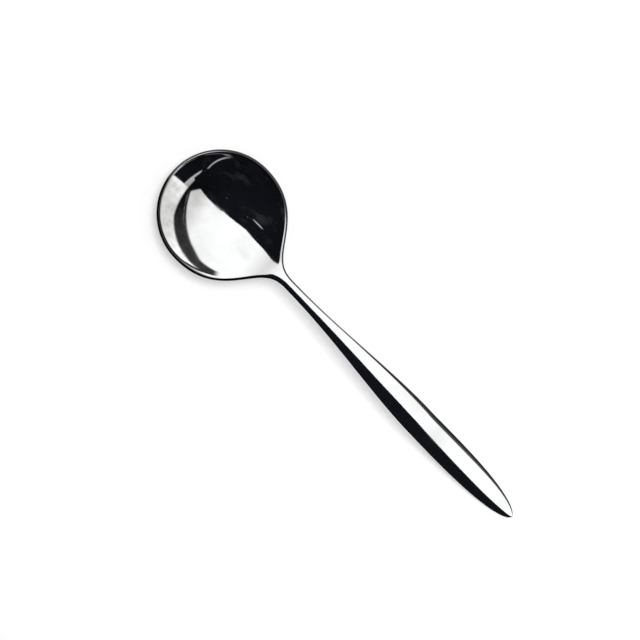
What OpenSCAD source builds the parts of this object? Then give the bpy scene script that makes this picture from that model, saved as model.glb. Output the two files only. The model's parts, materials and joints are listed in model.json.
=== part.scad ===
// Round-bowled soup spoon, one piece of polished steel from tip to handle end.
// The spoon lies on a table: +X runs from the tip of the bowl to the end of the
// handle, +Z is up, and the origin is under the middle of its length.

/* [Overall] */
// Length from the tip of the bowl to the end of the handle
length = 176; // [165:1:190]

/* [Bowl] */
// Diameter of the round bowl over its rim
bowl_d = 46.5; // [44:0.5:50]
// Height of the rim above the table at the middle of the bowl
rim_z = 9.7; // [8.5:0.1:11.5]
// How much higher than that the rim stands at the tip
tip_lift = 0.3; // [0:0.1:1.5]
// Thickness of the steel at the bottom of the bowl
floor_t = 1.4; // [1:0.1:2]
// Width of the smooth band round the rim
rim_band = 1.1; // [0.9:0.05:1.6]
// Height of the rounded rim above its outer edge
rim_crest = 0.65; // [0.4:0.05:0.9]
// Depth of the rounded rim below its outer edge
rim_belly = 0.4; // [0.2:0.05:0.7]
// Softness of the turn from the hollow to the rim
rim_soft = 0.25; // [0.15:0.05:0.6]
// Distance from the bowl's centre to where the hollow ends at the neck
hollow_reach = 28.5; // [27:0.5:30]
// Distance from the bowl's centre to where the drop under the heel ends
heel_reach = 30.5; // [29:0.5:33]

/* [Neck] */
// Distance from the tip of the bowl to the narrowest part of the neck
neck_at = 60; // [56:0.5:66]
// Width of the neck at its narrowest
neck_w = 3.8; // [3:0.1:5]
// Height of the neck's edge line above the table
neck_z = 12.9; // [11.5:0.1:15]
// Height of the neck's crown above its edge line
neck_crest = 0.5; // [0.3:0.05:0.9]
// Depth of the neck's underside below its edge line
neck_belly = 2.2; // [1.6:0.1:2.6]

/* [Handle] */
// Width of the handle at its widest
handle_w = 12.1; // [10:0.1:14]
// Distance from the widest part of the handle to its end
swell_from_end = 48; // [42:0.5:56]
// Height of the handle's crown above its edge line at the widest part
handle_crest = 1.8; // [1.2:0.1:2.4]
// Height to which the crown falls towards the end
end_crest = 0.8; // [0.5:0.05:1.1]
// Depth of the handle's underside below its edge line at the widest part
handle_belly = 1; // [0.6:0.1:1.4]
// Depth to which the underside falls towards the end
end_belly = 0.8; // [0.5:0.05:1]
// Height to which the arch of the handle is drawn
arch_z = 15.6; // [14.4:0.1:17]
// Height of the edge line halfway down to the end
fall_z = 9.2; // [8:0.1:10.5]
// Height of the edge line just before the end
heel_z = 1.45; // [1.2:0.05:2]
// Height of the edge line at the very end
end_z = 0.36; // [0.3:0.02:0.7]

/* [Hidden] */

tip_x = -length / 2;
end_x = length / 2;
bowl_r = bowl_d / 2;
bowl_x = tip_x + bowl_r;
neck_x = tip_x + neck_at;
neck_half = neck_w / 2;
swell_x = end_x - swell_from_end;
swell_half = handle_w / 2;
hollow_r = bowl_r - rim_band;

// Two powers that shape each rounded section: more in the first makes its middle
// flatter, and more in the second makes its edge rounder.
rim_power_shares = [2, 2];
crown_power_shares = [2.5, 1.2];
belly_power_shares = [2.6, 2.6];
// Fullness of the bowl at its middle and at its back: 2 is a parabola, and more
// has a flatter floor. It has changed by the given share of the bowl's radius.
full_shares = [2.4, 2];
full_run_share = 0.75;
// Powers of the rise from the bowl's middle to the neck, which starts and ends flat.
rise_power_shares = [2.5, 1.9];
// Slope of the edge line where bowl and handle meet, as rise over run.
neck_slope_share = 0.1;

// Control points of the shoulder, as shares of the way from the bowl's side to
// the neck, and of the bowl's radius.
shoulder_run_shares = [0.32, 0.64, 0.65, 0.8];
shoulder_drop_share = 0.195;
// Control points of the handle's two outline curves, as shares of their runs.
swell_run_shares = [0.4, 0.7];
end_run_shares = [0.4, 0.8];
end_width_shares = [0.97, 0.44];
// Where the rim's rounded section starts to grow into the neck's, as a share of
// the way from the bowl's centre to the neck.
grow_share = 0.45;

// Counts of segments: round a quarter of the rim, along a shoulder, out across the
// hollow, round one side of a section, and along the two parts of the handle.
arc_steps = 20;
shoulder_steps = 24;
hollow_steps = 11;
side_steps = 6;
swell_steps = 22;
end_steps = 18;

// A point or a number on the smooth curve that its control list p draws.
function curve(p, t) =
    len(p) == 1 ? p[0]
    : curve([for (i = [0 : len(p) - 2]) p[i] * (1 - t) + p[i + 1] * t], t);

// Direction of that curve.
function curve_dir(p, t) = curve([for (i = [0 : len(p) - 2]) p[i + 1] - p[i]], t);

function mix(a, b, t) = a * (1 - t) + b * t;
function ease(t) = t <= 0 ? 0 : t >= 1 ? 1 : t * t * (3 - 2 * t);

// Across one side of a section: how far out a point lies, and how high it stands.
function out_share(j, powers) = pow(sin(90 * j / side_steps), 2 / powers[0]);
function up_share(out, powers) = out >= 1 ? 0 : pow(1 - pow(out, powers[0]), 1 / powers[1]);

// Height of the edge line, which runs along the rim, the neck and the handle.
bowl_line = [
    rim_z + tip_lift,
    rim_z - tip_lift,
    rim_z - 2 * tip_lift,
    neck_z - neck_slope_share * neck_at / 4,
    neck_z
];
handle_line = [
    neck_z,
    neck_z + neck_slope_share * (end_x - neck_x) / 5,
    arch_z,
    fall_z,
    heel_z,
    end_z
];
function edge_z(x) =
    x <= neck_x ? curve(bowl_line, (x - tip_x) / neck_at)
    : curve(handle_line, (x - neck_x) / (end_x - neck_x));

// Outline of one shoulder, from the bowl's side to the neck.
shoulder = [
    [bowl_x, bowl_r],
    [mix(bowl_x, neck_x, shoulder_run_shares[0]), bowl_r],
    [mix(bowl_x, neck_x, shoulder_run_shares[1]), bowl_r * (1 - shoulder_drop_share)],
    [mix(bowl_x, neck_x, shoulder_run_shares[2]), neck_half],
    [mix(bowl_x, neck_x, shoulder_run_shares[3]), neck_half],
    [neck_x, neck_half]
];

// How far the rim's section has grown into the neck's, 0 to 1.
function grown(x) = ease((x - mix(bowl_x, neck_x, grow_share)) / ((1 - grow_share) * (neck_x - bowl_x)));
function crest(x) = mix(rim_crest, neck_crest, grown(x));
function belly(x) = mix(rim_belly, neck_belly, grown(x));

function crown_powers(x) = mix(rim_power_shares, crown_power_shares, grown(x));
function full(x) = mix(full_shares[0], full_shares[1], ease((x - bowl_x) / (full_run_share * bowl_r)));

// What is left of a hollow of depth 1 at a share of the way out to its edge, with
// a soft turn there, and at x on the way to the neck.
soft_share = rim_soft / rim_z;
function soft(left) = (left + sqrt(left * left + soft_share * soft_share)) / 2;
function left_across(share, power) = soft(1 - pow(share, power));
function left_along(x, reach) =
    x <= bowl_x ? 1
    : x >= bowl_x + reach ? 0
    : pow(1 - pow((x - bowl_x) / reach, rise_power_shares[0]), rise_power_shares[1]);

// Heights of the bowl's two faces at x, where left is how much of the hollow is
// left, and up is 0 on the edge line and 1 inside the rounded band.
function top_z(x, left, up) = edge_z(x) + (crest(x) - (edge_z(x) + crest(x) - floor_t) * left) * up;
function under_z(x, left, up) = edge_z(x) - (belly(x) + (edge_z(x) - belly(x)) * left) * up;

// From the middle out to the edge: across the hollow, then over the band.
hollow_share = hollow_r / bowl_r;
function out_shares(powers) = [
    for (j = [1 : hollow_steps]) hollow_share * j / hollow_steps,
    for (j = [1 : side_steps]) mix(hollow_share, 1, out_share(j, powers))
];
side_count = hollow_steps + side_steps;

// One side of the bowl's wall at x, from beside the middle of the hollow, over the
// rim and back along the underside. There dir is the direction out from the middle,
// half the way to the edge, band the rounded band's width along it, and inner the
// way to the hollow's edge. On the middle line, top_left and under_left are left.
function wall(middle, dir, half, band, inner, top_left, under_left) =
    let (
        power = full(middle[0]),
        crown = crown_powers(middle[0]),
        top = [for (s = out_shares(crown))
            let (p = middle + half * s * dir, out = max(0, 1 - (1 - s) * half / band))
            [p[0], p[1], top_z(p[0], top_left * left_across(s * half / inner, power), up_share(out, crown))]],
        under = [for (s = out_shares(belly_power_shares))
            let (p = middle + half * s * dir, out = max(0, 1 - (1 - s) * half / band))
            [p[0], p[1], under_z(p[0], under_left * left_across(s, power), up_share(out, belly_power_shares))]]
    )
    concat(top, [for (i = [side_count - 2 : -1 : 0]) under[i]]);

// Walls of the round front of the bowl, fanned out from its centre.
fan = [
    for (i = [0 : 2 * arc_steps])
        let (a = 90 + 90 * i / arc_steps)
        wall([bowl_x, 0], [cos(a), sin(a)], bowl_r, rim_band, hollow_r, 1, 1)
];

// Sections of the back of the bowl, from its middle to the neck, each in order
// round the steel from the middle of the hollow.
function flip(p) = [p[0], -p[1], p[2]];
function bowl_section(t) =
    let (
        place = curve(shoulder, t),
        dir = curve_dir(shoulder, t),
        slant = norm(dir) / dir[0],
        top_left = left_along(place[0], hollow_reach),
        under_left = left_along(place[0], heel_reach),
        side = wall(
            [place[0], 0], [0, 1], place[1], slant * mix(rim_band, neck_half, ease(t)),
            place[1] - slant * rim_band, top_left, under_left
        )
    )
    [
        [place[0], 0, top_z(place[0], top_left, 1)],
        each side,
        [place[0], 0, under_z(place[0], under_left, 1)],
        for (i = [len(side) - 1 : -1 : 0]) flip(side[i])
    ];

module bowl() {
    wall_count = 2 * side_count - 1;
    around = 2 * wall_count + 2;
    fan_at = 2;
    sections_at = fan_at + len(fan) * wall_count;
    points = [
        [bowl_x, 0, top_z(bowl_x, 1, 1)],
        [bowl_x, 0, under_z(bowl_x, 1, 1)],
        for (w = fan) each w,
        for (i = [1 : shoulder_steps]) each bowl_section(i / shoulder_steps)
    ];
    // Place in the list of point i of section j: section 0 is the fan's two ends
    // and its two middles.
    function in_section(j, i) =
        j > 0 ? sections_at + (j - 1) * around + i
        : i == 0 ? 0
        : i <= wall_count ? fan_at + i - 1
        : i == wall_count + 1 ? 1
        : sections_at - (i - wall_count - 1);
    faces = [
        for (w = [0 : len(fan) - 2])
            let (a = fan_at + w * wall_count, b = a + wall_count)
            each [
                [0, b, a],
                for (i = [0 : wall_count - 2]) each split(a + i, b + i, b + i + 1, a + i + 1),
                [1, a + wall_count - 1, b + wall_count - 1]
            ],
        for (j = [0 : shoulder_steps - 1], i = [0 : around - 1])
            let (n = (i + 1) % around)
            each split(in_section(j, i), in_section(j, n), in_section(j + 1, n), in_section(j + 1, i)),
        [for (i = [0 : around - 1]) in_section(shoulder_steps, i)]
    ];
    color([0.8, 0.81, 0.83]) polyhedron(points, faces, convexity = 6);
}

// Two triangles that make one four-sided patch.
function split(a, b, c, d) = [[a, b, c], [a, c, d]];

// Outline of the handle: half its width along it, from the neck to the widest
// part, and from there round the end.
swell = [
    [neck_x, neck_half],
    [mix(neck_x, swell_x, swell_run_shares[0]), neck_half],
    [mix(neck_x, swell_x, swell_run_shares[1]), swell_half],
    [swell_x, swell_half]
];
round_end = [
    [swell_x, swell_half],
    [mix(swell_x, end_x, end_run_shares[0]), swell_half],
    [mix(swell_x, end_x, end_run_shares[1]), swell_half * end_width_shares[0]],
    [end_x, swell_half * end_width_shares[1]],
    [end_x, 0]
];
stations = [
    for (i = [0 : swell_steps]) curve(swell, i / swell_steps),
    for (i = [1 : end_steps - 1]) curve(round_end, i / end_steps)
];

// Crown and underside of the handle where half its width is w: they grow from the
// neck to the widest part, get thinner to the end, and close with the width there.
function handle_part(x, w, at_neck, at_swell, at_end) =
    x <= swell_x ? mix(at_neck, at_swell, (w - neck_half) / (swell_half - neck_half))
    : mix(at_swell, at_end, (x - swell_x) / (end_x - swell_x)) * sqrt(w / swell_half);

// Section of the handle at a station, round from the crown's middle.
function handle_section(s) =
    let (
        z = edge_z(s[0]),
        up = handle_part(s[0], s[1], neck_crest, handle_crest, end_crest),
        down = handle_part(s[0], s[1], neck_belly, handle_belly, end_belly),
        side = concat(
            [for (j = [0 : side_steps])
                let (out = out_share(j, crown_power_shares))
                [s[1] * out, z + up * up_share(out, crown_power_shares)]],
            [for (j = [side_steps - 1 : -1 : 0])
                let (out = out_share(j, belly_power_shares))
                [s[1] * out, z - down * up_share(out, belly_power_shares)]]
        )
    )
    [
        for (p = side) [s[0], p[0], p[1]],
        for (i = [len(side) - 2 : -1 : 1]) [s[0], -side[i][0], side[i][1]]
    ];

module handle() {
    sections = [for (s = stations) handle_section(s)];
    around = len(sections[0]);
    last = len(sections) * around;
    points = [
        for (s = sections) each s,
        [end_x, 0, edge_z(end_x)]
    ];
    faces = [
        [for (i = [around - 1 : -1 : 0]) i],
        for (j = [0 : len(sections) - 2], i = [0 : around - 1])
            let (a = j * around + i, b = j * around + (i + 1) % around)
            each split(a, b, b + around, a + around),
        for (i = [0 : around - 1])
            [last - around + i, last - around + (i + 1) % around, last]
    ];
    color([0.8, 0.81, 0.83]) polyhedron(points, faces, convexity = 4);
}

bowl();
handle();
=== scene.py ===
"""Round-bowled soup spoon of mirror-polished steel, dressed round its fixed frame.

The bowl and the handle are modelled as one continuous skin and then parted at the
neck, so the polish runs on from one to the other. Everything is in metres, in the
frame's own axes: +X runs from the tip of the bowl to the end of the handle.
"""

import json
import math
from functools import reduce

import bpy
import numpy as np
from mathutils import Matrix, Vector

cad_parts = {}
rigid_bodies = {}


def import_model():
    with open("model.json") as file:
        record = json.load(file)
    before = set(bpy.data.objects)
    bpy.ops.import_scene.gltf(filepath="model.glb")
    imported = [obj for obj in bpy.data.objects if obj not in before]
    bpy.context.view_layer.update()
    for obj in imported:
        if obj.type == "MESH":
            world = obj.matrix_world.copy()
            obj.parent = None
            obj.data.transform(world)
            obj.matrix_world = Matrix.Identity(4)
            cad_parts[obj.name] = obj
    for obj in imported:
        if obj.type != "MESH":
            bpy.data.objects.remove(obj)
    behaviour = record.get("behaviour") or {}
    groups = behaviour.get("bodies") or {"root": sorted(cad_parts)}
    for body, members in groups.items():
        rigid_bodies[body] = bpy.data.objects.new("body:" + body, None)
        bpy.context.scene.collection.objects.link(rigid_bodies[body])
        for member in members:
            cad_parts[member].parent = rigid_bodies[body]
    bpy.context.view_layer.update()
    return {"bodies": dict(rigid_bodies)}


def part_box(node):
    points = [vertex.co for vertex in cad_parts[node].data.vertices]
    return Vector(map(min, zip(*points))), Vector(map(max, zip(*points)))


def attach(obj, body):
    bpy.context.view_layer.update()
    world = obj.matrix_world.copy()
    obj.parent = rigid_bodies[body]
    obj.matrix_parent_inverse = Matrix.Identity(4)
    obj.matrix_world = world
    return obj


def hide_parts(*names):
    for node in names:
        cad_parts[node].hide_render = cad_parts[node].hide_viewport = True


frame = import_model()
BODY = next(iter(frame["bodies"]))

bl_info = {
    "name": "Soup Spoon",
    "version": (1, 0, 0),
    "blender": (4, 5, 0),
    "location": "3D View > Sidebar > Spoon",
    "description": "Builds a round-bowled soup spoon and the studio that it lies in",
    "category": "Add Mesh",
}

MM = 0.001
BOWL_LOW, BOWL_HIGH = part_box("bowl")
HANDLE_LOW, HANDLE_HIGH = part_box("handle")

# Shape of the outline and of the sections, as shares of the sizes they follow.
SHOULDER_RUN_SHARES = (0.32, 0.64, 0.65, 0.8)
SHOULDER_DROP_SHARE = 0.195
SWELL_RUN_SHARES = (0.4, 0.7)
END_RUN_SHARES = (0.4, 0.8)
END_WIDTH_SHARES = (0.97, 0.44)
GROW_SHARE = 0.45
FULL_RUN_SHARE = 0.75
NECK_SLOPE_SHARE = 0.1

# Powers that round off the rim, the crown and the underside, and those that say how
# full the bowl is from its middle to its back, and how late its floor rises there.
RIM_POWERS = (2.0, 2.0)
CROWN_POWERS = (2.5, 1.2)
BELLY_POWERS = (2.6, 2.6)
FULL_POWERS = (2.4, 1.9)
RISE_POWERS = (2.5, 1.9)

# Segments of the skin: round a quarter of the rim, along a shoulder, out across the
# hollow, over the band at its rim, out across the handle, and along its two parts.
ARC_STEPS = 56
SHOULDER_STEPS = 72
HOLLOW_STEPS = 34
BAND_STEPS = 14
ACROSS_STEPS = 31
SWELL_STEPS = 90
END_STEPS = 56

# Dark line painted on the rim, a painted reflection of the dark surroundings: where it starts
# and stops inside the outline, round the bowl and at the neck, how far its ends blur, how soon it
# narrows along the shoulder, and how far it runs on along the handle. The shoulder's outline
# is measured in steps.
RIM_SHADE_LAYER = "painted_rim_shade"
OUTLINE_STEPS = 400
BAND = (0.2 * MM, 1.25 * MM)
NECK_BAND = (0.0, 0.45 * MM)
BAND_BLUR = 0.2 * MM
BAND_TAPER = 1.8
BAND_RUN = 55 * MM

# How much that painted dark line is narrowed near the tip: by how much at most, how many degrees round
# the rim that is from the tip to the bright side, and how fast it fades on both sides.
TIP_NARROWING = 0.65 * MM
TIP_NARROWING_TURN = 26.0
TIP_NARROWING_POWER = 4

# Patches in the polish of the steel. A pattern shows where its noise goes from low to
# high, and a stretched one is turned, in radians.
SMUDGES = {"scale": 70.0, "detail": 4.0, "low": 0.45, "high": 0.75}
WIPES = {"scale": 160.0, "detail": 3.0, "low": 0.5, "high": 0.8, "stretch": 0.25, "turn": 0.6}
CLOUDS = {"scale": 60.0, "detail": 3.0, "low": 0.3, "high": 0.6}
FILM = {"scale": 260.0, "detail": 4.0, "low": 0.56, "high": 0.76, "stretch": 0.35, "turn": 0.5}

# Very fine lines that polishing leaves, and how deep they are.
LINES = {"detail": 1.0, "stretch": 0.06, "turn": 0.35}
LINES_STRENGTH = 0.03
LINES_DEPTH = 0.02 * MM

# Haze: where it sets in between handle and bowl, how far it stays off the clean spot,
# whose reach is squeezed along the axes, and how much of it the marks carry.
BOWL_FADE = (-34 * MM, -40 * MM)
CLEAN_REACH = (8 * MM, 22 * MM)
CLEAN_SQUEEZE = (1.0, 0.5, 0.0)
MARKS_HAZE = 0.25

# Dust: how much the film and the specks cover against the smear, how large and how
# rare the specks are, and the shape of the smear with its ragged edge.
FILM_COVER = 0.05
SPECK_COVER = 0.12
SPECK_EDGE = (0.16, 0.06)
SPECK_CHANCE = (0.82, 0.84)
SMEAR_SQUEEZE = (0.13, 1.0, 0.0)
SMEAR_EDGE = (0.55 * MM, 0.3 * MM)
SMEAR_GRAIN = {"scale": 900.0, "detail": 2.0}
SMEAR_RAGGED = 0.3 * MM

# Half the width of a soft, of a sharp and of a slowly fading edge of a light, in radians.
SOFT_EDGE = 0.03
SHARP_EDGE = 0.012
FADING_EDGE = 4 * SOFT_EDGE

# Lights of the studio, in degrees round the spoon. A turn is counted from its handle
# towards its dark side, and a height from the table up. A top, a bottom, a cut and a
# middle are given as a turn and a height, and a top, a bottom and a cut are where a
# straight edge of a light is highest.
MAIN_LIGHT_TURN = -6.0
MAIN_LIGHT_OVERHANG = 12.0
STRIP_TOP = (-42.5, 45.6)
CORNER_CUT = (50.0, 59.3)
TAIL_TOP = (-60.0, 27.0)
TAIL_END_TURN = -136.0
WALL_TOPS = ((-7.3, 32.7), (-32.0, 26.5), (-54.0, 13.6))
WALL_EDGES = (SOFT_EDGE, SOFT_EDGE, SHARP_EDGE)
WALL_TURNS = (-118.0, -7.0)
BLADE_TOP = (-34.0, 39.5)
BLADE_BOTTOM = (8.0, 24.8)
BLADE_END_TURN = 21.0
ARC_MIDDLE = (64.0, 44.8)
ARC_RADII = (33.2, 35.0)
ARC_TURNS = (25.0, 53.0)
GLINT_TOP = (-40.0, 42.6)
GLINT_BOTTOM = (-40.0, 40.6)
GLINT_TURNS = (-62.0, -14.0)
GAP_MIDDLE = (-105.0, 12.0)

# Cosines from the middle of the gap between which it takes on its colour.
GAP_REACH = (0.2, 0.9)

# How uneven the wall, the glint and the gap are.
WALL_CLOUDS = {"scale": 9.0, "detail": 4.0, "low": 0.3, "high": 0.7, "to_low": 1.0, "to_high": 0.8}
GLINT_CLOUDS = {"scale": 30.0, "detail": 3.0, "low": 0.35, "high": 0.6}
GAP_CLOUDS = {"scale": 16.0, "detail": 3.0, "low": 0.3, "high": 0.7, "to_low": 0.5, "to_high": 1.4}

# Black card over the dark side of the spoon: its height, the edge that it turns to
# the softbox, as places along and across the spoon, and how far it reaches from there.
CARD_HEIGHT = 0.15
CARD_EDGE = (
    (-1.2, -0.17),
    (-0.46, -0.065),
    (-0.26, -0.037),
    (-0.18, -0.0265),
    (-0.11, -0.01),
    (-0.07, -0.0028),
    (-0.02, -0.0033),
    (0.015, -0.006),
    (0.045, -0.0095),
    (0.08, -0.011),
    (0.11, -0.0145),
    (0.145, -0.022),
    (0.185, -0.035),
)
CARD_DEPTH = 4.0

# Camera straight above the table: the place below it, the width that its picture
# shows there, its turn in degrees, and its sensor and reach.
CAMERA_POINT = (-0.01234, -0.00078)
FRAME_WIDTH = 0.2335
CAMERA_TURN = 46.11
SENSOR_WIDTH = 36.0
CAMERA_REACH = (0.01, 50.0)

# Paper and lamp: half the side of the paper and how far it lies below the spoon, and
# how far the lamp hangs to the bright side and above the table.
PAPER_HALF = 6.0
PAPER_DROP = 0.02 * MM
KEY_ASIDE = 0.2
KEY_HEIGHT = 0.95


class SpoonSizes(bpy.types.PropertyGroup):
    """Sizes of the spoon. The overall ones come from the frame that it is built round."""

    length: bpy.props.FloatProperty(
        name="Length",
        description="From the tip of the bowl to the end of the handle",
        default=HANDLE_HIGH.x - BOWL_LOW.x,
        unit="LENGTH",
    )
    bowl_diameter: bpy.props.FloatProperty(
        name="Bowl diameter",
        description="Across the round bowl, over its rim",
        default=BOWL_HIGH.y - BOWL_LOW.y,
        unit="LENGTH",
    )
    neck_distance: bpy.props.FloatProperty(
        name="Neck distance",
        description="From the tip of the bowl to the narrowest part of the neck",
        default=BOWL_HIGH.x - BOWL_LOW.x,
        unit="LENGTH",
    )
    neck_width: bpy.props.FloatProperty(
        name="Neck width",
        description="Width of the neck at its narrowest",
        default=3.8 * MM,
        unit="LENGTH",
    )
    neck_height: bpy.props.FloatProperty(
        name="Neck height",
        description="Height of the neck's edge line above the table",
        default=12.9 * MM,
        unit="LENGTH",
    )
    neck_crest: bpy.props.FloatProperty(
        name="Neck crown",
        description="Height of the neck's crown above its edge line",
        default=0.5 * MM,
        unit="LENGTH",
    )
    neck_belly: bpy.props.FloatProperty(
        name="Neck underside",
        description="Depth of the neck's underside below its edge line",
        default=2.2 * MM,
        unit="LENGTH",
    )
    rim_height: bpy.props.FloatProperty(
        name="Rim height",
        description="Height of the rim above the table at the middle of the bowl",
        default=9.7 * MM,
        unit="LENGTH",
    )
    tip_lift: bpy.props.FloatProperty(
        name="Tip lift",
        description="How much higher than that the rim stands at the tip",
        default=0.3 * MM,
        unit="LENGTH",
    )
    floor_thickness: bpy.props.FloatProperty(
        name="Floor thickness",
        description="Thickness of the steel at the bottom of the bowl",
        default=1.4 * MM,
        unit="LENGTH",
    )
    rim_band: bpy.props.FloatProperty(
        name="Rim band",
        description="Width of the smooth band round the rim",
        default=1.1 * MM,
        unit="LENGTH",
    )
    rim_crest: bpy.props.FloatProperty(
        name="Rim crown",
        description="Height of the rounded rim above its outer edge",
        default=0.65 * MM,
        unit="LENGTH",
    )
    rim_belly: bpy.props.FloatProperty(
        name="Rim underside",
        description="Depth of the rounded rim below its outer edge",
        default=0.4 * MM,
        unit="LENGTH",
    )
    rim_softness: bpy.props.FloatProperty(
        name="Rim softness",
        description="Softness of the turn from the hollow to the rim",
        default=0.25 * MM,
        unit="LENGTH",
    )
    hollow_reach: bpy.props.FloatProperty(
        name="Hollow reach",
        description="From the bowl's centre to where the hollow ends at the neck",
        default=28.5 * MM,
        unit="LENGTH",
    )
    heel_reach: bpy.props.FloatProperty(
        name="Heel reach",
        description="From the bowl's centre to where the drop under the heel ends",
        default=30.5 * MM,
        unit="LENGTH",
    )
    handle_width: bpy.props.FloatProperty(
        name="Handle width",
        description="Width of the handle at its widest",
        default=HANDLE_HIGH.y - HANDLE_LOW.y,
        unit="LENGTH",
    )
    swell_from_end: bpy.props.FloatProperty(
        name="Swell from end",
        description="From the widest part of the handle to its end",
        default=48.0 * MM,
        unit="LENGTH",
    )
    handle_crest: bpy.props.FloatProperty(
        name="Handle crown",
        description="Height of the crown above the edge line at the widest part",
        default=1.8 * MM,
        unit="LENGTH",
    )
    end_crest: bpy.props.FloatProperty(
        name="End crown",
        description="Height to which the crown falls towards the end",
        default=0.8 * MM,
        unit="LENGTH",
    )
    handle_belly: bpy.props.FloatProperty(
        name="Handle underside",
        description="Depth of the underside below the edge line at the widest part",
        default=1.0 * MM,
        unit="LENGTH",
    )
    end_belly: bpy.props.FloatProperty(
        name="End underside",
        description="Depth to which the underside falls towards the end",
        default=0.8 * MM,
        unit="LENGTH",
    )
    arch_height: bpy.props.FloatProperty(
        name="Arch height",
        description="Height to which the arch of the handle is drawn",
        default=15.6 * MM,
        unit="LENGTH",
    )
    fall_height: bpy.props.FloatProperty(
        name="Fall height",
        description="Height of the edge line halfway down to the end",
        default=9.2 * MM,
        unit="LENGTH",
    )
    foot_height: bpy.props.FloatProperty(
        name="Foot height",
        description="Height of the edge line just before the end",
        default=1.45 * MM,
        unit="LENGTH",
    )
    end_height: bpy.props.FloatProperty(
        name="End height",
        description="Height of the edge line at the very end",
        default=0.36 * MM,
        unit="LENGTH",
    )


class SpoonFinish(bpy.types.PropertyGroup):
    """Colours and polish of the steel."""

    steel_colour: bpy.props.FloatVectorProperty(
        name="Steel",
        description="Colour of the polished steel",
        default=(0.86, 0.865, 0.87),
        size=3,
        min=0.0,
        max=1.0,
        subtype="COLOR",
    )
    roughness: bpy.props.FloatProperty(
        name="Roughness",
        description="Roughness of the mirror polish where it is clean",
        default=0.035,
        min=0.0,
        max=1.0,
        subtype="FACTOR",
    )
    smudge_roughness: bpy.props.FloatProperty(
        name="Smudges",
        description="Roughness that faint smudges and wiping marks add",
        default=0.05,
        min=0.0,
        max=1.0,
        subtype="FACTOR",
    )
    scratch_size: bpy.props.FloatProperty(
        name="Scratch spacing",
        description="Spacing of the fine polishing lines",
        default=0.12 * MM,
        unit="LENGTH",
    )
    # Painted shade: the dark line painted along the rim's edge stands for the dark surroundings that
    # the steel mirrors there.
    edge_shade: bpy.props.FloatProperty(
        name="Edge shade",
        description="Brightness of the ground edge against the polished steel",
        default=0.06,
        min=0.0,
        max=1.0,
        subtype="FACTOR",
    )
    haze: bpy.props.FloatProperty(
        name="Haze",
        description="Strength of the faint cloudiness that use has left in the bowl",
        default=0.95,
        min=0.0,
        max=1.0,
        subtype="FACTOR",
    )
    haze_colour: bpy.props.FloatVectorProperty(
        name="Haze colour",
        description="What the thickest haze leaves of the steel's brightness",
        default=(0.53, 0.53, 0.51),
        size=3,
        min=0.0,
        max=1.0,
        subtype="COLOR",
    )
    clean_spot: bpy.props.FloatVectorProperty(
        name="Clean spot",
        description="Place in the bowl round which its polish has stayed clear",
        default=(-55 * MM, -12 * MM, 0.0),
        size=3,
        unit="LENGTH",
        subtype="XYZ",
    )
    dust: bpy.props.FloatProperty(
        name="Dust",
        description="How much the smear and the specks cover of the steel",
        default=0.5,
        min=0.0,
        max=1.0,
        subtype="FACTOR",
    )
    smear_spot: bpy.props.FloatVectorProperty(
        name="Smear",
        description="Place of the small dried smear in the bowl",
        default=(-53.1 * MM, 7.1 * MM, 0.0),
        size=3,
        unit="LENGTH",
        subtype="XYZ",
    )
    speck_spacing: bpy.props.FloatProperty(
        name="Speck spacing",
        description="Distance between the places where a speck of dust may lie",
        default=2.5 * MM,
        min=0.1 * MM,
        unit="LENGTH",
    )


class SpoonStudio(bpy.types.PropertyGroup):
    """Light and ground of the studio."""

    paper_colour: bpy.props.FloatVectorProperty(
        name="Paper",
        description="Colour of the paper that the spoon lies on",
        default=(0.8, 0.8, 0.8),
        size=3,
        min=0.0,
        max=1.0,
        subtype="COLOR",
    )
    fill: bpy.props.FloatProperty(
        name="Fill light",
        description="Strength of the even light from all round",
        default=0.62,
        min=0.0,
    )
    softbox_light: bpy.props.FloatProperty(
        name="Softbox",
        description="Brightness of the white softbox as the steel mirrors it",
        default=1.16,
        min=0.0,
    )
    wall_light: bpy.props.FloatProperty(
        name="Wall",
        description="Brightness of the lit wall behind the tip of the bowl",
        default=1.5,
        min=0.0,
    )
    blade_light: bpy.props.FloatProperty(
        name="Narrow light",
        description="Brightness of the narrow upright light beside the wall, against the wall's",
        default=0.46,
        min=0.0,
        max=1.0,
        subtype="FACTOR",
    )
    arc_light: bpy.props.FloatProperty(
        name="Arc",
        description="Brightness of the thin arc on the dark side, against the wall's",
        default=0.39,
        min=0.0,
        max=1.0,
        subtype="FACTOR",
    )
    glint_light: bpy.props.FloatProperty(
        name="Glint",
        description="Brightness of the faint streak between softbox and wall, against the wall's",
        default=0.14,
        min=0.0,
        max=1.0,
        subtype="FACTOR",
    )
    flag_colour: bpy.props.FloatVectorProperty(
        name="Flags",
        description="Colour of the black flags and of the black card that the steel mirrors",
        default=(0.006, 0.007, 0.010),
        size=3,
        min=0.0,
        max=1.0,
        subtype="COLOR",
    )
    gap_colour: bpy.props.FloatVectorProperty(
        name="Gap",
        description="Colour of the dark gap between the softbox and the wall",
        default=(0.042, 0.042, 0.041),
        size=3,
        min=0.0,
        max=1.0,
        subtype="COLOR",
    )
    key_power: bpy.props.FloatProperty(
        name="Key light",
        description="Power of the large soft lamp that casts the shadow",
        default=4.3,
        min=0.0,
        unit="POWER",
    )
    key_size: bpy.props.FloatProperty(
        name="Key size",
        description="Side of that lamp",
        default=0.3,
        unit="LENGTH",
    )
    camera_height: bpy.props.FloatProperty(
        name="Camera height",
        description="Height of the camera above the table",
        default=0.8,
        unit="LENGTH",
    )


def mix(a, b, t):
    """What lies the share t of the way from a to b."""
    return a * (1 - t) + b * t


def ease(t):
    """A smooth step from 0 to 1."""
    t = np.clip(t, 0.0, 1.0)
    return t * t * (3 - 2 * t)


def curve(points, t):
    """Point of the smooth curve that a control list draws, at each share t."""
    t = np.asarray(t, float)
    points = [np.asarray(p, float) for p in points]
    if points[0].ndim:
        t = t[..., None]
    while len(points) > 1:
        points = [mix(a, b, t) for a, b in zip(points, points[1:])]
    return points[0]


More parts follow.
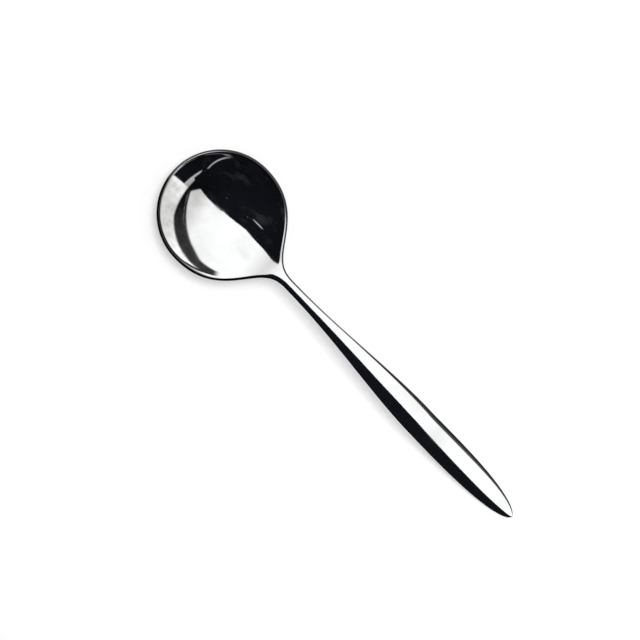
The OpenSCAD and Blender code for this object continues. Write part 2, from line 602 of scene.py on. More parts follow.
def curve_direction(points, t):
    """Direction of that curve."""
    points = [np.asarray(p, float) for p in points]
    return curve([b - a for a, b in zip(points, points[1:])], t)


def height_over(out, powers):
    """Height of a rounded section at the share out of the way to its edge."""
    return np.power(np.clip(1 - np.power(np.clip(out, 0.0, 1.0), powers[0]), 0.0, 1.0), 1 / powers[1])


def section_shares(powers, steps):
    """Shares from the middle to the edge of a section, evenly spaced round its curve."""
    turn = np.radians(90 * np.arange(1, steps + 1) / steps)
    shares = np.power(np.sin(turn), 2 / powers[0])
    shares[-1] = 1.0
    return shares


class Skin:
    """Places on the spoon's surface, worked out from its sizes."""

    def __init__(self, sizes):
        self.sizes = sizes
        self.tip_x = BOWL_LOW.x
        self.end_x = self.tip_x + sizes.length
        self.bowl_r = sizes.bowl_diameter / 2
        self.bowl_x = self.tip_x + self.bowl_r
        self.neck_x = self.tip_x + sizes.neck_distance
        self.neck_half = sizes.neck_width / 2
        self.swell_x = self.end_x - sizes.swell_from_end
        self.swell_half = sizes.handle_width / 2
        self.hollow_r = self.bowl_r - sizes.rim_band
        self.soft_share = sizes.rim_softness / sizes.rim_height
        self.bowl_line = self.line_along_bowl()
        self.handle_line = self.line_along_handle()
        self.shoulder = self.shoulder_outline()

    def line_along_bowl(self):
        """Control heights of the edge line over the bowl, up to the slope at the neck."""
        s = self.sizes
        line = [s.rim_height + s.tip_lift, s.rim_height - s.tip_lift, s.rim_height - 2 * s.tip_lift]
        before_neck = s.neck_height - NECK_SLOPE_SHARE * s.neck_distance / (len(line) + 1)
        return [*line, before_neck, s.neck_height]

    def line_along_handle(self):
        """Control heights of the edge line over the handle, down from that slope."""
        s = self.sizes
        line = [s.arch_height, s.fall_height, s.foot_height, s.end_height]
        after_neck = s.neck_height + NECK_SLOPE_SHARE * (self.end_x - self.neck_x) / (len(line) + 1)
        return [s.neck_height, after_neck, *line]

    def edge_z(self, x):
        """Height of the edge line, which runs along the rim, the neck and the handle."""
        on_bowl = curve(self.bowl_line, np.clip((x - self.tip_x) / (self.neck_x - self.tip_x), 0, 1))
        share = np.clip((x - self.neck_x) / (self.end_x - self.neck_x), 0, 1)
        return np.where(x <= self.neck_x, on_bowl, curve(self.handle_line, share))

    def shoulder_outline(self):
        """Control points of the outline from the middle of the bowl to the neck."""
        along = [mix(self.bowl_x, self.neck_x, share) for share in SHOULDER_RUN_SHARES]
        return [
            (self.bowl_x, self.bowl_r),
            (along[0], self.bowl_r),
            (along[1], self.bowl_r * (1 - SHOULDER_DROP_SHARE)),
            (along[2], self.neck_half),
            (along[3], self.neck_half),
            (self.neck_x, self.neck_half),
        ]

    def grown(self, x):
        """How far the rim's section has grown into the neck's, 0 to 1."""
        start = mix(self.bowl_x, self.neck_x, GROW_SHARE)
        return ease((x - start) / (self.neck_x - start))

    def crest(self, x):
        """Height of the rim's or the neck's crown above its edge line."""
        return mix(self.sizes.rim_crest, self.sizes.neck_crest, self.grown(x))

    def belly(self, x):
        """Depth of the rim's or the neck's underside below its edge line."""
        return mix(self.sizes.rim_belly, self.sizes.neck_belly, self.grown(x))

    def left(self, share, power):
        """What is left of the hollow's depth at a share of the way to its edge."""
        rest = 1 - np.power(np.maximum(share, 0.0), power)
        return (rest + np.sqrt(rest * rest + self.soft_share**2)) / 2

    def left_along(self, x, reach):
        """What is left of the depth at a place between the bowl's centre and the neck."""
        return max(1 - ((x - self.bowl_x) / reach) ** RISE_POWERS[0], 0.0) ** RISE_POWERS[1]

    def crown_powers(self, x):
        """Powers of the crown's section, from the round rim to the neck."""
        return tuple(mix(a, b, self.grown(x)) for a, b in zip(RIM_POWERS, CROWN_POWERS))

    def full_power(self, x):
        """Fullness of the bowl's section at x."""
        back = ease((x - self.bowl_x) / (FULL_RUN_SHARE * self.bowl_r))
        return mix(FULL_POWERS[0], FULL_POWERS[1], back)

    def top_z(self, x, left, up):
        """Height of the top of the wall, from what is left of the hollow and its crown."""
        edge, crest = self.edge_z(x), self.crest(x)
        return edge + (crest - (edge + crest - self.sizes.floor_thickness) * left) * up

    def under_z(self, x, left, up):
        """Height of the underside of the wall, in the same way."""
        edge, belly = self.edge_z(x), self.belly(x)
        return edge - (belly + (edge - belly) * left) * up

    def shares_out(self, powers):
        """Shares from the middle out to the edge: across the hollow, then the band."""
        inner = self.hollow_r / self.bowl_r
        hollow = inner * np.arange(1, HOLLOW_STEPS + 1) / HOLLOW_STEPS
        return np.concatenate([hollow, mix(inner, 1.0, section_shares(powers, BAND_STEPS))])

    def wall(self, x, direction, half, band, inner, top_left, under_left):
        """One side of the bowl's wall: out over the hollow to the rim, and back."""
        direction = np.asarray(direction, float)
        faces = []
        full = self.full_power(x)
        for powers, top in ((self.crown_powers(x), True), (BELLY_POWERS, False)):
            share = self.shares_out(powers)
            px = x + half * share * direction[0]
            py = half * share * direction[1]
            up = height_over(1 - (1 - share) * half / band, powers)
            if top:
                z = self.top_z(px, top_left * self.left(share * half / inner, full), up)
            else:
                z = self.under_z(px, under_left * self.left(share, full), up)
            faces.append(np.stack([px, py, z], axis=-1))
        return np.concatenate([faces[0], faces[1][-2::-1]])

    def fan(self):
        """Walls of the round front of the bowl, from one side over the tip to the other."""
        walls = []
        round_rim = (self.bowl_r, self.sizes.rim_band, self.hollow_r)
        for i in range(2 * ARC_STEPS + 1):
            turn = math.radians(90 + 90 * i / ARC_STEPS)
            direction = (math.cos(turn), math.sin(turn))
            walls.append(self.wall(self.bowl_x, direction, *round_rim, 1, 1))
        return walls

    def bowl_section(self, t):
        """Closed section of the back of the bowl, in order from the middle of its top."""
        x, half = curve(self.shoulder, t)
        along = curve_direction(self.shoulder, t)
        slant = np.linalg.norm(along) / along[0]
        top_left = self.left_along(x, self.sizes.hollow_reach)
        under_left = self.left_along(x, self.sizes.heel_reach)
        band = slant * mix(self.sizes.rim_band, self.neck_half, ease(t))
        inner = half - slant * self.sizes.rim_band
        side = self.wall(x, (0, 1), half, band, inner, top_left, under_left)
        top = (x, 0, self.top_z(x, top_left, 1))
        under = (x, 0, self.under_z(x, under_left, 1))
        return np.concatenate([[top], side, [under], (side * (1, -1, 1))[::-1]])

    def handle_stations(self):
        """Places along the handle and half its width there, up to just before its end."""
        swell = [
            (self.neck_x, self.neck_half),
            (mix(self.neck_x, self.swell_x, SWELL_RUN_SHARES[0]), self.neck_half),
            (mix(self.neck_x, self.swell_x, SWELL_RUN_SHARES[1]), self.swell_half),
            (self.swell_x, self.swell_half),
        ]
        round_end = [
            (self.swell_x, self.swell_half),
            (mix(self.swell_x, self.end_x, END_RUN_SHARES[0]), self.swell_half),
            (mix(self.swell_x, self.end_x, END_RUN_SHARES[1]), self.swell_half * END_WIDTH_SHARES[0]),
            (self.end_x, self.swell_half * END_WIDTH_SHARES[1]),
            (self.end_x, 0),
        ]
        first = curve(swell, np.arange(SWELL_STEPS + 1) / SWELL_STEPS)
        last = curve(round_end, np.arange(1, END_STEPS) / END_STEPS)
        return np.concatenate([first, last])

    def handle_part(self, x, half, at_neck, at_swell, at_end):
        """Height of the crown or depth of the underside, which goes with the handle's width."""
        if x <= self.swell_x:
            return mix(at_neck, at_swell, (half - self.neck_half) / (self.swell_half - self.neck_half))
        past = (x - self.swell_x) / (self.end_x - self.swell_x)
        return mix(at_swell, at_end, past) * math.sqrt(half / self.swell_half)

    def handle_section(self, x, half, shares):
        """Closed section of the handle, in the same order as the bowl's."""
        s = self.sizes
        edge = float(self.edge_z(x))
        up = self.handle_part(x, half, s.neck_crest, s.handle_crest, s.end_crest)
        down = self.handle_part(x, half, s.neck_belly, s.handle_belly, s.end_belly)
        faces = []
        for share, powers, rise in ((shares[0], CROWN_POWERS, up), (shares[1], BELLY_POWERS, -down)):
            across = np.concatenate([[0.0], share])
            z = edge + rise * height_over(across, powers)
            faces.append(np.stack([np.full_like(across, x), across * half, z], axis=-1))
        side = np.concatenate([faces[0], faces[1][-2::-1]])
        return np.concatenate([side, (side * (1, -1, 1))[-2:0:-1]])


def ring_faces(first, second):
    """Four-sided faces between two closed rings of point numbers, facing out."""
    following = [*range(1, len(first)), 0]
    return [(first[i], second[i], second[j], first[j]) for i, j in enumerate(following)]


def bowl_skin(skin):
    """Points, faces and neck ring of the bowl."""
    walls = skin.fan()
    count = len(walls[0])
    points = [
        (skin.bowl_x, 0, float(skin.top_z(skin.bowl_x, 1, 1))),
        (skin.bowl_x, 0, float(skin.under_z(skin.bowl_x, 1, 1))),
    ]
    points.extend(tuple(p) for w in walls for p in w)
    first = 2
    faces = []
    for w in range(len(walls) - 1):
        a = first + w * count
        b = a + count
        faces.append((0, a, b))
        faces.extend((a + i, a + i + 1, b + i + 1, b + i) for i in range(count - 1))
        faces.append((1, b + count - 1, a + count - 1))
    last_wall = first + (len(walls) - 1) * count
    ring = [0, *range(first, first + count), 1, *range(last_wall + count - 1, last_wall - 1, -1)]
    for j in range(1, SHOULDER_STEPS + 1):
        start = len(points)
        points.extend(tuple(p) for p in skin.bowl_section(j / SHOULDER_STEPS))
        following = list(range(start, len(points)))
        faces.extend(ring_faces(ring, following))
        ring = following
    return points, faces, ring


def handle_skin(skin):
    """Points, faces and neck ring of the handle."""
    shares = [section_shares(powers, ACROSS_STEPS) for powers in (CROWN_POWERS, BELLY_POWERS)]
    points, faces, rings = [], [], []
    for x, half in skin.handle_stations():
        start = len(points)
        points.extend(tuple(p) for p in skin.handle_section(x, half, shares))
        rings.append(list(range(start, len(points))))
    for first, second in zip(rings, rings[1:]):
        faces.extend(ring_faces(first, second))
    end = len(points)
    points.append((skin.end_x, 0.0, float(skin.edge_z(skin.end_x))))
    last = rings[-1]
    faces.extend((last[i], end, last[(i + 1) % len(last)]) for i in range(len(last)))
    return points, faces, rings[0]


def neck_normals(points, ring):
    """Directions out of the skin at the neck ring, from its section and its slope."""
    places = np.array([points[i] for i in ring])
    round_it = np.roll(places, -1, axis=0) - np.roll(places, 1, axis=0)
    out = np.cross(round_it, (1.0, 0.0, NECK_SLOPE_SHARE))
    out /= np.linalg.norm(out, axis=1, keepdims=True)
    middle = places.mean(axis=0)
    flip = np.sign(np.einsum("ij,ij->i", out, places - middle))
    return out * flip[:, None]


def painted_rim_shade(skin, points):
    """How strongly each point carries the dark line painted just inside the outline, a painted
    reflection of the dark surroundings.
    """
    x, y, z = np.array(points, float).T
    shares = np.linspace(0, 1, OUTLINE_STEPS)
    shoulder = curve(skin.shoulder, shares).T
    share = np.interp(x, shoulder[0], shares)
    run, drop = (np.interp(share, shares, part) for part in curve_direction(skin.shoulder, shares).T)
    in_bowl = skin.bowl_r - np.hypot(x - skin.bowl_x, y)
    in_shoulder = (np.interp(x, *shoulder) - np.abs(y)) * run / np.hypot(run, drop)
    in_handle = np.interp(x, *skin.handle_stations().T) - np.abs(y)
    places = (x <= skin.bowl_x, x <= skin.neck_x)
    inside = np.select(places, (in_bowl, in_shoulder), in_handle)
    neck = np.select(places, (np.zeros_like(x), ease(BAND_TAPER * share)), 1.0)
    # The painted dark line is narrowed towards the bright side of the tip.
    from_wear = np.arctan2(y, skin.bowl_x - x) - math.radians(TIP_NARROWING_TURN)
    tip_narrowing = np.where(places[0], TIP_NARROWING * np.maximum(np.cos(from_wear), 0.0) ** TIP_NARROWING_POWER, 0.0)
    start = mix(BAND[0], NECK_BAND[0], neck)
    stop = mix(BAND[1], NECK_BAND[1], neck) - tip_narrowing
    across = np.minimum(inside - start, stop - inside) / BAND_BLUR + 1
    above = (z - skin.edge_z(x)) / BAND_BLUR + 1
    along = (skin.neck_x + BAND_RUN - x) / BAND_RUN
    shade_share = np.prod([np.clip(part, 0.0, 1.0) for part in (across, above, along)], axis=0)
    return shade_share.astype(np.float32)


def smooth_over_neck(mesh, points, ring):
    """Shades the neck ring as one skin with its neighbour, and its cap as a flat cut."""
    cap = mesh.polygons[-1]
    cap.use_smooth = False
    around_cap = set(cap.edge_keys)
    for edge in mesh.edges:
        if edge.key in around_cap:
            edge.use_edge_sharp = True
    at_neck = dict(zip(ring, neck_normals(points, ring)))
    normals = [(0.0, 0.0, 0.0)] * len(mesh.loops)
    for face in mesh.polygons:
        if face.index == cap.index:
            continue
        for loop in face.loop_indices:
            point = mesh.loops[loop].vertex_index
            if point in at_neck:
                normals[loop] = tuple(at_neck[point])
    mesh.normals_split_custom_set(normals)


def make_piece(name, skin, points, faces, cap, node):
    """Makes a smooth steel piece, closed by its cap, over the node that it stands for."""
    mesh = bpy.data.meshes.new(name)
    mesh.from_pydata([tuple(map(float, p)) for p in points], [], [*faces, tuple(cap)])
    mesh.update()
    mesh.polygons.foreach_set("use_smooth", [True] * len(mesh.polygons))
    smooth_over_neck(mesh, points, cap)
    mesh.validate(clean_customdata=False)
    # Share of the painted dark line at each point, a painted reflection of the dark surroundings along
    # the rim.
    layer = mesh.attributes.new(RIM_SHADE_LAYER, "FLOAT", "POINT")
    layer.data.foreach_set("value", painted_rim_shade(skin, points))
    mesh.materials.append(steel())
    piece = bpy.data.objects.new(name, mesh)
    bpy.context.scene.collection.objects.link(piece)
    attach(piece, BODY)
    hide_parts(node)


class Nodes:
    """Short ways to add and join shader nodes."""

    def __init__(self, tree):
        self.tree = tree
        tree.nodes.clear()

    def add(self, kind, **settings):
        """A new node with its settings."""
        node = self.tree.nodes.new(kind)
        for key, value in settings.items():
            setattr(node, key, value)
        return node

    def join(self, start, end):
        """A link from one socket to another."""
        self.tree.links.new(start, end)

    def put(self, socket, value):
        """A link or a plain value for a socket."""
        if isinstance(value, bpy.types.NodeSocket):
            self.join(value, socket)
        else:
            socket.default_value = value

    def finish(self, kind, shader):
        """The output node, which ends a material or a world."""
        self.join(shader.outputs[0], self.add(kind).inputs["Surface"])

    def maths(self, operation, *values):
        """Result of an operation on single values."""
        node = self.add("ShaderNodeMath", operation=operation)
        for socket, value in zip(node.inputs, values):
            self.put(socket, value)
        return node.outputs[0]

    def vector_maths(self, operation, output, *values):
        """Result of an operation on vectors, from the socket named output."""
        node = self.add("ShaderNodeVectorMath", operation=operation)
        for socket, value in zip(node.inputs, values):
            self.put(socket, value)
        return node.outputs[output]

    def axis(self, vector, letter):
        """One of the three values of a vector or a colour."""
        node = self.add("ShaderNodeSeparateXYZ")
        self.join(vector, node.inputs[0])
        return node.outputs[letter]

    def distance(self, place, spot, squeeze):
        """Distance from a spot, squeezed along the axes."""
        apart = self.vector_maths("SUBTRACT", "Vector", place, tuple(spot))
        squeezed = self.vector_maths("MULTIPLY", "Vector", apart, squeeze)
        return self.vector_maths("LENGTH", "Value", squeezed)

    def blend(self, share, first, second):
        """The colour that lies a share of the way from the first to the second."""
        node = self.add("ShaderNodeMix", data_type="RGBA")
        self.put(node.inputs["Factor"], share)
        for letter, colour in (("A", first), ("B", second)):
            made = isinstance(colour, bpy.types.NodeSocket)
            self.put(node.inputs[letter], colour if made else (*colour, 1.0))
        return node.outputs["Result"]

    def smooth(self, value, low, high, to_low=0.0, to_high=1.0):
        """A smooth step from to_low to to_high, while the value goes from low to high."""
        node = self.add("ShaderNodeMapRange", interpolation_type="SMOOTHSTEP")
        for socket, item in zip(node.inputs, (value, low, high, to_low, to_high)):
            self.put(socket, item)
        return node.outputs[0]

    def noise(self, place, scale, detail, stretch=1.0, turn=0.0):
        """Noise, stretched along one axis that is turned round the upright one."""
        mapping = self.add("ShaderNodeMapping")
        self.join(place, mapping.inputs["Vector"])
        mapping.inputs["Scale"].default_value = (stretch, 1.0, 1.0)
        mapping.inputs["Rotation"].default_value = (0.0, 0.0, turn)
        node = self.add("ShaderNodeTexNoise")
        self.join(mapping.outputs["Vector"], node.inputs["Vector"])
        node.inputs["Scale"].default_value = scale
        node.inputs["Detail"].default_value = detail
        return node.outputs["Fac"]

    def pattern(self, place, scale, detail, low, high, to_low=0.0, to_high=1.0, **turned):
        """Patches of noise, which show where it goes from low to high."""
        return self.smooth(self.noise(place, scale, detail, **turned), low, high, to_low, to_high)


def polishing_lines(n, place, finish):
    """Direction of the skin with the very fine lines that polishing leaves."""
    lines = n.noise(place, 1 / finish.scratch_size, **LINES)
    bump = n.add("ShaderNodeBump")
    bump.inputs["Strength"].default_value = LINES_STRENGTH
    bump.inputs["Distance"].default_value = LINES_DEPTH
    n.join(lines, bump.inputs["Height"])
    return bump.outputs["Normal"]


def hazed_and_rim_shaded_steel(n, place, in_bowl, marks, finish):
    """Colour of the steel, with the haze in its bowl and a dark line painted along its edge as a
    painted reflection.
    """
    aside = n.smooth(n.distance(place, finish.clean_spot, CLEAN_SQUEEZE), *CLEAN_REACH)
    clouds = n.maths("MULTIPLY", n.pattern(place, **CLOUDS), in_bowl)
    haze = n.maths("MULTIPLY", clouds, n.maths("MULTIPLY", aside, finish.haze))
    haze = n.maths("MAXIMUM", haze, n.maths("MULTIPLY", marks, MARKS_HAZE))
    clear = tuple(finish.steel_colour)
    cloudy = [c * share for c, share in zip(clear, finish.haze_colour)]
    # Painted shade: the rim's dark line darkens the steel's colour in place of a dark reflection.
    rim_shade_share = n.add("ShaderNodeAttribute", attribute_name=RIM_SHADE_LAYER).outputs["Fac"]
    return n.blend(rim_shade_share, n.blend(haze, clear, cloudy), [c * finish.edge_shade for c in clear])


def bowl_dust(n, place, in_bowl, finish):
    """Where a dried smear, a few specks and a thin film lie in the bowl."""
    cells = n.add("ShaderNodeTexVoronoi")
    n.join(place, cells.inputs["Vector"])
    cells.inputs["Scale"].default_value = 1 / finish.speck_spacing
    few = n.smooth(n.axis(cells.outputs["Color"], "X"), *SPECK_CHANCE)
    specks = n.maths("MULTIPLY", n.smooth(cells.outputs["Distance"], *SPECK_EDGE), few)
    specks = n.maths("MULTIPLY", specks, SPECK_COVER)
    faint = n.maths("MULTIPLY_ADD", n.pattern(place, **FILM), FILM_COVER, specks)
    from_smear = n.distance(place, finish.smear_spot, SMEAR_SQUEEZE)
    ragged = n.maths("MULTIPLY_ADD", n.noise(place, **SMEAR_GRAIN), SMEAR_RAGGED, from_smear)
    smear = n.smooth(ragged, *SMEAR_EDGE)
    return n.maths("MULTIPLY", n.maths("MAXIMUM", faint, smear), in_bowl)


def polished_steel(finish):
    """Mirror-polished steel with the faint marks that use has left on it."""
    material = bpy.data.materials.new("polished steel")
    material.use_nodes = True
    n = Nodes(material.node_tree)
    place = n.add("ShaderNodeTexCoord").outputs["Object"]
    in_bowl = n.smooth(n.axis(place, "X"), *BOWL_FADE)
    marks = n.maths("MAXIMUM", n.pattern(place, **SMUDGES), n.pattern(place, **WIPES))
    rough = n.maths("MULTIPLY_ADD", marks, finish.smudge_roughness, finish.roughness)
    dust = bowl_dust(n, place, in_bowl, finish)
    shader = n.add("ShaderNodeBsdfPrincipled")
    n.join(hazed_and_rim_shaded_steel(n, place, in_bowl, marks, finish), shader.inputs["Base Color"])
    n.join(n.maths("MULTIPLY_ADD", dust, -finish.dust, 1.0), shader.inputs["Metallic"])
    n.join(rough, shader.inputs["Roughness"])
    n.join(polishing_lines(n, place, finish), shader.inputs["Normal"])
    n.finish("ShaderNodeOutputMaterial", shader)
    return material


def steel():
    """The one steel material, made when it is first asked for."""
    return bpy.data.materials.get("polished steel") or polished_steel(bpy.context.scene.spoon_finish)


def paper_material(studio):
    """White paper, which the camera sees as white with the spoon's shadow on it."""
    material = bpy.data.materials.new("white paper")
    material.use_nodes = True
    n = Nodes(material.node_tree)
    path = n.add("ShaderNodeLightPath")
    seen = n.maths("MAXIMUM", path.outputs["Is Camera Ray"], path.outputs["Is Glossy Ray"])
    seen = n.maths("MAXIMUM", seen, path.outputs["Is Transmission Ray"])
    paper = n.add("ShaderNodeBsdfDiffuse")
    paper.inputs["Color"].default_value = (*studio.paper_colour, 1.0)
    lift = n.add("ShaderNodeEmission")
    lift.inputs["Color"].default_value = (1.0, 1.0, 1.0, 1.0)
    n.join(n.maths("MULTIPLY", seen, 1.0 - min(studio.paper_colour)), lift.inputs["Strength"])
    both = n.add("ShaderNodeAddShader")
    n.join(paper.outputs[0], both.inputs[0])
    n.join(lift.outputs[0], both.inputs[1])
    n.finish("ShaderNodeOutputMaterial", both)
    return material


def black_card(studio):
    """Black card, which looks the same in any light."""
    material = bpy.data.materials.new("black card")
    material.use_nodes = True
    n = Nodes(material.node_tree)
    black = n.add("ShaderNodeEmission")
    black.inputs["Color"].default_value = (*studio.flag_colour, 1.0)
    n.finish("ShaderNodeOutputMaterial", black)
    return material


def bearing(turn, height):
    """Direction at a turn from the handle towards the dark side, and a height, in degrees."""
    a, h = math.radians(turn), math.radians(height)
    return Vector((math.cos(a) * math.cos(h), -math.sin(a) * math.cos(h), math.sin(h)))


def above_edge(turn, height):
    """Upward direction square to the straight edge whose highest point is at turn and height."""
    highest = bearing(turn, height)
    along = bearing(turn + 90, 0)
    up = highest.cross(along)
    return up if up.z > 0 else -up


class Surroundings(Nodes):
    """Nodes that say, from 0 to 1, in which directions there is a light."""

    def __init__(self, tree):
        super().__init__(tree)
        self.look = self.add("ShaderNodeTexCoord").outputs["Generated"]

    def along(self, direction):
        """Cosine between the look and a direction."""
        return self.vector_maths("DOT_PRODUCT", "Value", self.look, direction)

    def side(self, direction, softness=SHARP_EDGE, limit=0.0):
        """All that is nearer to a direction than the limit, which is a cosine."""
        return self.smooth(self.along(direction), limit - softness, limit + softness)

    def over(self, top, softness=SHARP_EDGE):
        """All that lies over the straight edge that is highest at top."""
        return self.side(above_edge(*top), softness)

    def under(self, top, softness=SHARP_EDGE):
        """All that lies under that edge."""
        return self.other(self.over(top, softness))

    def before(self, turn, softness=SHARP_EDGE):
        """The half of the surroundings that ends at a turn."""
        return self.side(bearing(turn - 90, 0), softness)

    def after(self, turn, softness=SHARP_EDGE):
        """The half that starts at a turn."""
        return self.other(self.before(turn, softness))

    def other(self, part):
        """All but this part."""
        return self.maths("SUBTRACT", 1.0, part)

    def all_of(self, *parts):
        """What these parts have in common."""
        return reduce(lambda whole, part: self.maths("MULTIPLY", whole, part), parts)

    def any_of(self, *parts):
        """These parts together."""
        return reduce(lambda whole, part: self.maths("MAXIMUM", whole, part), parts)


def softbox(n):
    """White softbox over the bright side, which hangs over to the dark side a little."""
    main_edge = bearing(MAIN_LIGHT_TURN, 0).cross(bearing(90, 90 - MAIN_LIGHT_OVERHANG))
    if main_edge.y < 0:
        main_edge = -main_edge
    tail = n.any_of(n.over(TAIL_TOP), n.before(TAIL_END_TURN, 2 * SOFT_EDGE))
    cuts = n.all_of(n.over(STRIP_TOP, SOFT_EDGE), n.over(CORNER_CUT, SOFT_EDGE), tail)
    return n.all_of(n.side(main_edge), cuts)


def wall(n):
    """Lit wall, low behind the tip of the bowl."""
    start, end = WALL_TURNS
    low = n.any_of(*(n.under(top, edge) for top, edge in zip(WALL_TOPS, WALL_EDGES)))
    return n.all_of(low, n.after(start), n.before(end), n.pattern(n.look, **WALL_CLOUDS))


def blade(n):
    """Narrow upright light beside the wall."""
    beside = n.all_of(n.after(WALL_TURNS[1]), n.before(BLADE_END_TURN, SOFT_EDGE))
    low = n.under(WALL_TOPS[0], WALL_EDGES[0])
    return n.all_of(n.over(BLADE_BOTTOM), n.under(BLADE_TOP), low, beside)


def arc(n):
    """Thin bright arc on the dark side."""
    discs = [n.side(bearing(*ARC_MIDDLE), SHARP_EDGE / 2, math.cos(math.radians(r))) for r in ARC_RADII]
    ring = n.all_of(discs[1], n.other(discs[0]))
    start, end = ARC_TURNS
    return n.all_of(ring, n.after(start, FADING_EDGE), n.before(end, FADING_EDGE))


def glint(n):
    """Faint broken streak in the gap between the softbox and the wall."""
    streak = n.all_of(n.over(GLINT_BOTTOM, SHARP_EDGE / 2), n.under(GLINT_TOP, SHARP_EDGE / 2))
    start, end = GLINT_TURNS
    fading = n.all_of(n.after(start, FADING_EDGE), n.before(end, FADING_EDGE))
    return n.all_of(streak, fading, n.pattern(n.look, **GLINT_CLOUDS))


def studio_lights(n, studio):
    """All that shines in the studio, as a share of the wall's brightness."""
    lights = (
        (softbox(n), studio.softbox_light / studio.wall_light),
        (blade(n), studio.blade_light),
        (arc(n), studio.arc_light),
        (glint(n), studio.glint_light),
    )
    return n.any_of(wall(n), *(n.maths("MULTIPLY", light, share) for light, share in lights))


def studio_world(studio):
    """Even pale light, with lights and black flags round it for the steel to mirror."""
    world = bpy.data.worlds.new("studio")
    bpy.context.scene.world = world
    world.use_nodes = True
    n = Surroundings(world.node_tree)
    gap = n.smooth(n.along(bearing(*GAP_MIDDLE)), *GAP_REACH)
    gap = n.all_of(gap, n.pattern(n.look, **GAP_CLOUDS))
    dark = n.blend(gap, studio.flag_colour, studio.gap_colour)
    mirrored = n.blend(studio_lights(n, studio), dark, [studio.wall_light] * 3)
    path = n.add("ShaderNodeLightPath")
    by_steel = n.blend(path.outputs["Is Glossy Ray"], [studio.fill] * 3, mirrored)
    seen = n.blend(path.outputs["Is Camera Ray"], by_steel, (1.0, 1.0, 1.0))
    background = n.add("ShaderNodeBackground")
    n.join(seen, background.inputs["Color"])
    n.finish("ShaderNodeOutputWorld", background)


def stage_sheet(name, points, faces, material):
    """A flat sheet that belongs to the studio."""
    mesh = bpy.data.meshes.new(name)
    mesh.from_pydata(points, [], faces)
    mesh.materials.append(material)
    sheet = bpy.data.objects.new(name, mesh)
    bpy.context.scene.collection.objects.link(sheet)
    return sheet


def lay_paper(studio):
    """White paper under the spoon."""
    corners = [(x * PAPER_HALF, y * PAPER_HALF, 0) for x, y in ((-1, -1), (1, -1), (1, 1), (-1, 1))]
    paper = stage_sheet("paper", corners, [(0, 1, 2, 3)], paper_material(studio))
    paper.location.z = -PAPER_DROP


def hang_card(studio):
    """Black card over the dark side, which only the steel mirrors."""
    far = [(x, y - CARD_DEPTH) for x, y in CARD_EDGE]
    points = [(x, y, CARD_HEIGHT) for x, y in (*CARD_EDGE, *far)]
    count = len(CARD_EDGE)
    faces = [(i, i + 1, count + i + 1, count + i) for i in range(count - 1)]
    card = stage_sheet("card", points, faces, black_card(studio))
    for kind in ("camera", "diffuse", "transmission", "volume_scatter", "shadow"):
        setattr(card, "visible_" + kind, False)


def hang_key(studio):
    """Large soft lamp, which casts the shadow and isn't mirrored."""
    lamp = bpy.data.lights.new("key", "AREA")
    lamp.shape = "SQUARE"
    lamp.size = studio.key_size
    lamp.energy = studio.key_power
    key = bpy.data.objects.new("key", lamp)
    bpy.context.scene.collection.objects.link(key)
    key.location = (CAMERA_POINT[0], KEY_ASIDE, KEY_HEIGHT)
    aim = Vector((CAMERA_POINT[0], 0, 0)) - key.location
    key.rotation_euler = aim.to_track_quat("-Z", "Y").to_euler()
    key.visible_camera = False
    key.visible_glossy = False


def place_camera(studio):
    """Camera that looks straight down at the spoon."""
    data = bpy.data.cameras.new("camera")
    data.sensor_width = SENSOR_WIDTH
    data.lens = SENSOR_WIDTH * studio.camera_height / FRAME_WIDTH
    data.clip_start, data.clip_end = CAMERA_REACH
    camera = bpy.data.objects.new("camera", data)
    bpy.context.scene.collection.objects.link(camera)
    camera.location = (*CAMERA_POINT, studio.camera_height)
    camera.rotation_euler = (0.0, 0.0, math.radians(CAMERA_TURN))
    bpy.context.scene.camera = camera


class SPOON_OT_bowl(bpy.types.Operator):
    """Model the bowl with its rim, shoulders and the front of the neck"""

    bl_idname = "spoon.bowl"
    bl_label = "Bowl"

    def execute(self, context):
        skin = Skin(context.scene.spoon_sizes)
        points, faces, ring = bowl_skin(skin)
        make_piece("bowl_skin", skin, points, faces, ring[::-1], "bowl")
        return {"FINISHED"}


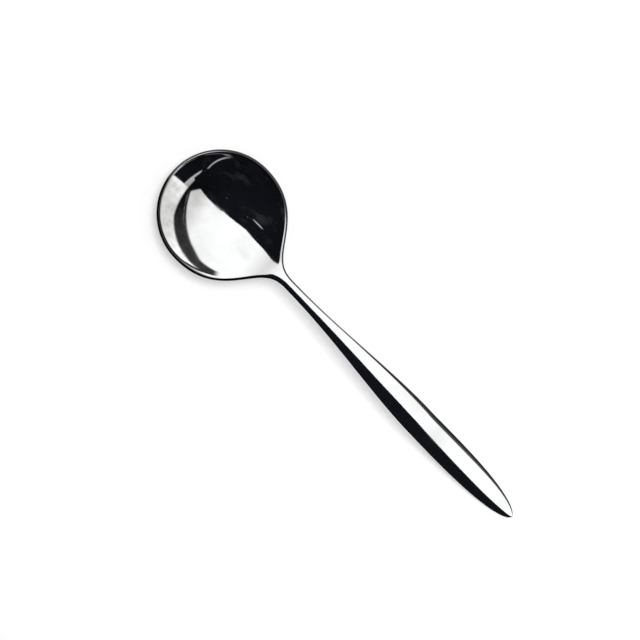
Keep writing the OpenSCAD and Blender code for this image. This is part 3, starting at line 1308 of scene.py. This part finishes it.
class SPOON_OT_handle(bpy.types.Operator):
    """Model the rest of the neck and the arched teardrop handle"""

    bl_idname = "spoon.handle"
    bl_label = "Handle"

    def execute(self, context):
        skin = Skin(context.scene.spoon_sizes)
        points, faces, ring = handle_skin(skin)
        make_piece("handle_skin", skin, points, faces, ring, "handle")
        return {"FINISHED"}


class SPOON_OT_stage(bpy.types.Operator):
    """Lay the paper, hang the lights and set up the camera"""

    bl_idname = "spoon.stage"
    bl_label = "Studio"

    def execute(self, context):
        studio = context.scene.spoon_studio
        context.scene.view_settings.view_transform = "Standard"
        for set_up in (studio_world, lay_paper, hang_key, hang_card, place_camera):
            set_up(studio)
        return {"FINISHED"}


class SPOON_PT_panel(bpy.types.Panel):
    """Sizes, finish and studio of the spoon"""

    bl_idname = "SPOON_PT_panel"
    bl_label = "Soup Spoon"
    bl_space_type = "VIEW_3D"
    bl_region_type = "UI"
    bl_category = "Spoon"

    def draw(self, context):
        layout = self.layout
        for operator in OPERATORS:
            layout.operator(operator.bl_idname)
        scene = context.scene
        for group in (scene.spoon_sizes, scene.spoon_finish, scene.spoon_studio):
            box = layout.box()
            for name in group.__annotations__:
                box.prop(group, name)


GROUPS = {"spoon_sizes": SpoonSizes, "spoon_finish": SpoonFinish, "spoon_studio": SpoonStudio}
OPERATORS = (SPOON_OT_stage, SPOON_OT_bowl, SPOON_OT_handle)


def register():
    """Makes the sizes, the operators and the panel known to Blender."""
    for item in (*GROUPS.values(), *OPERATORS, SPOON_PT_panel):
        bpy.utils.register_class(item)
    for name, group in GROUPS.items():
        setattr(bpy.types.Scene, name, bpy.props.PointerProperty(type=group))


def unregister():
    """Takes them out again."""
    for name in GROUPS:
        delattr(bpy.types.Scene, name)
    for item in reversed((*GROUPS.values(), *OPERATORS, SPOON_PT_panel)):
        bpy.utils.unregister_class(item)


def main():
    """Builds the studio and the spoon in it."""
    register()
    bpy.ops.spoon.stage()
    bpy.ops.spoon.bowl()
    bpy.ops.spoon.handle()


if __name__ == "__main__":
    main()
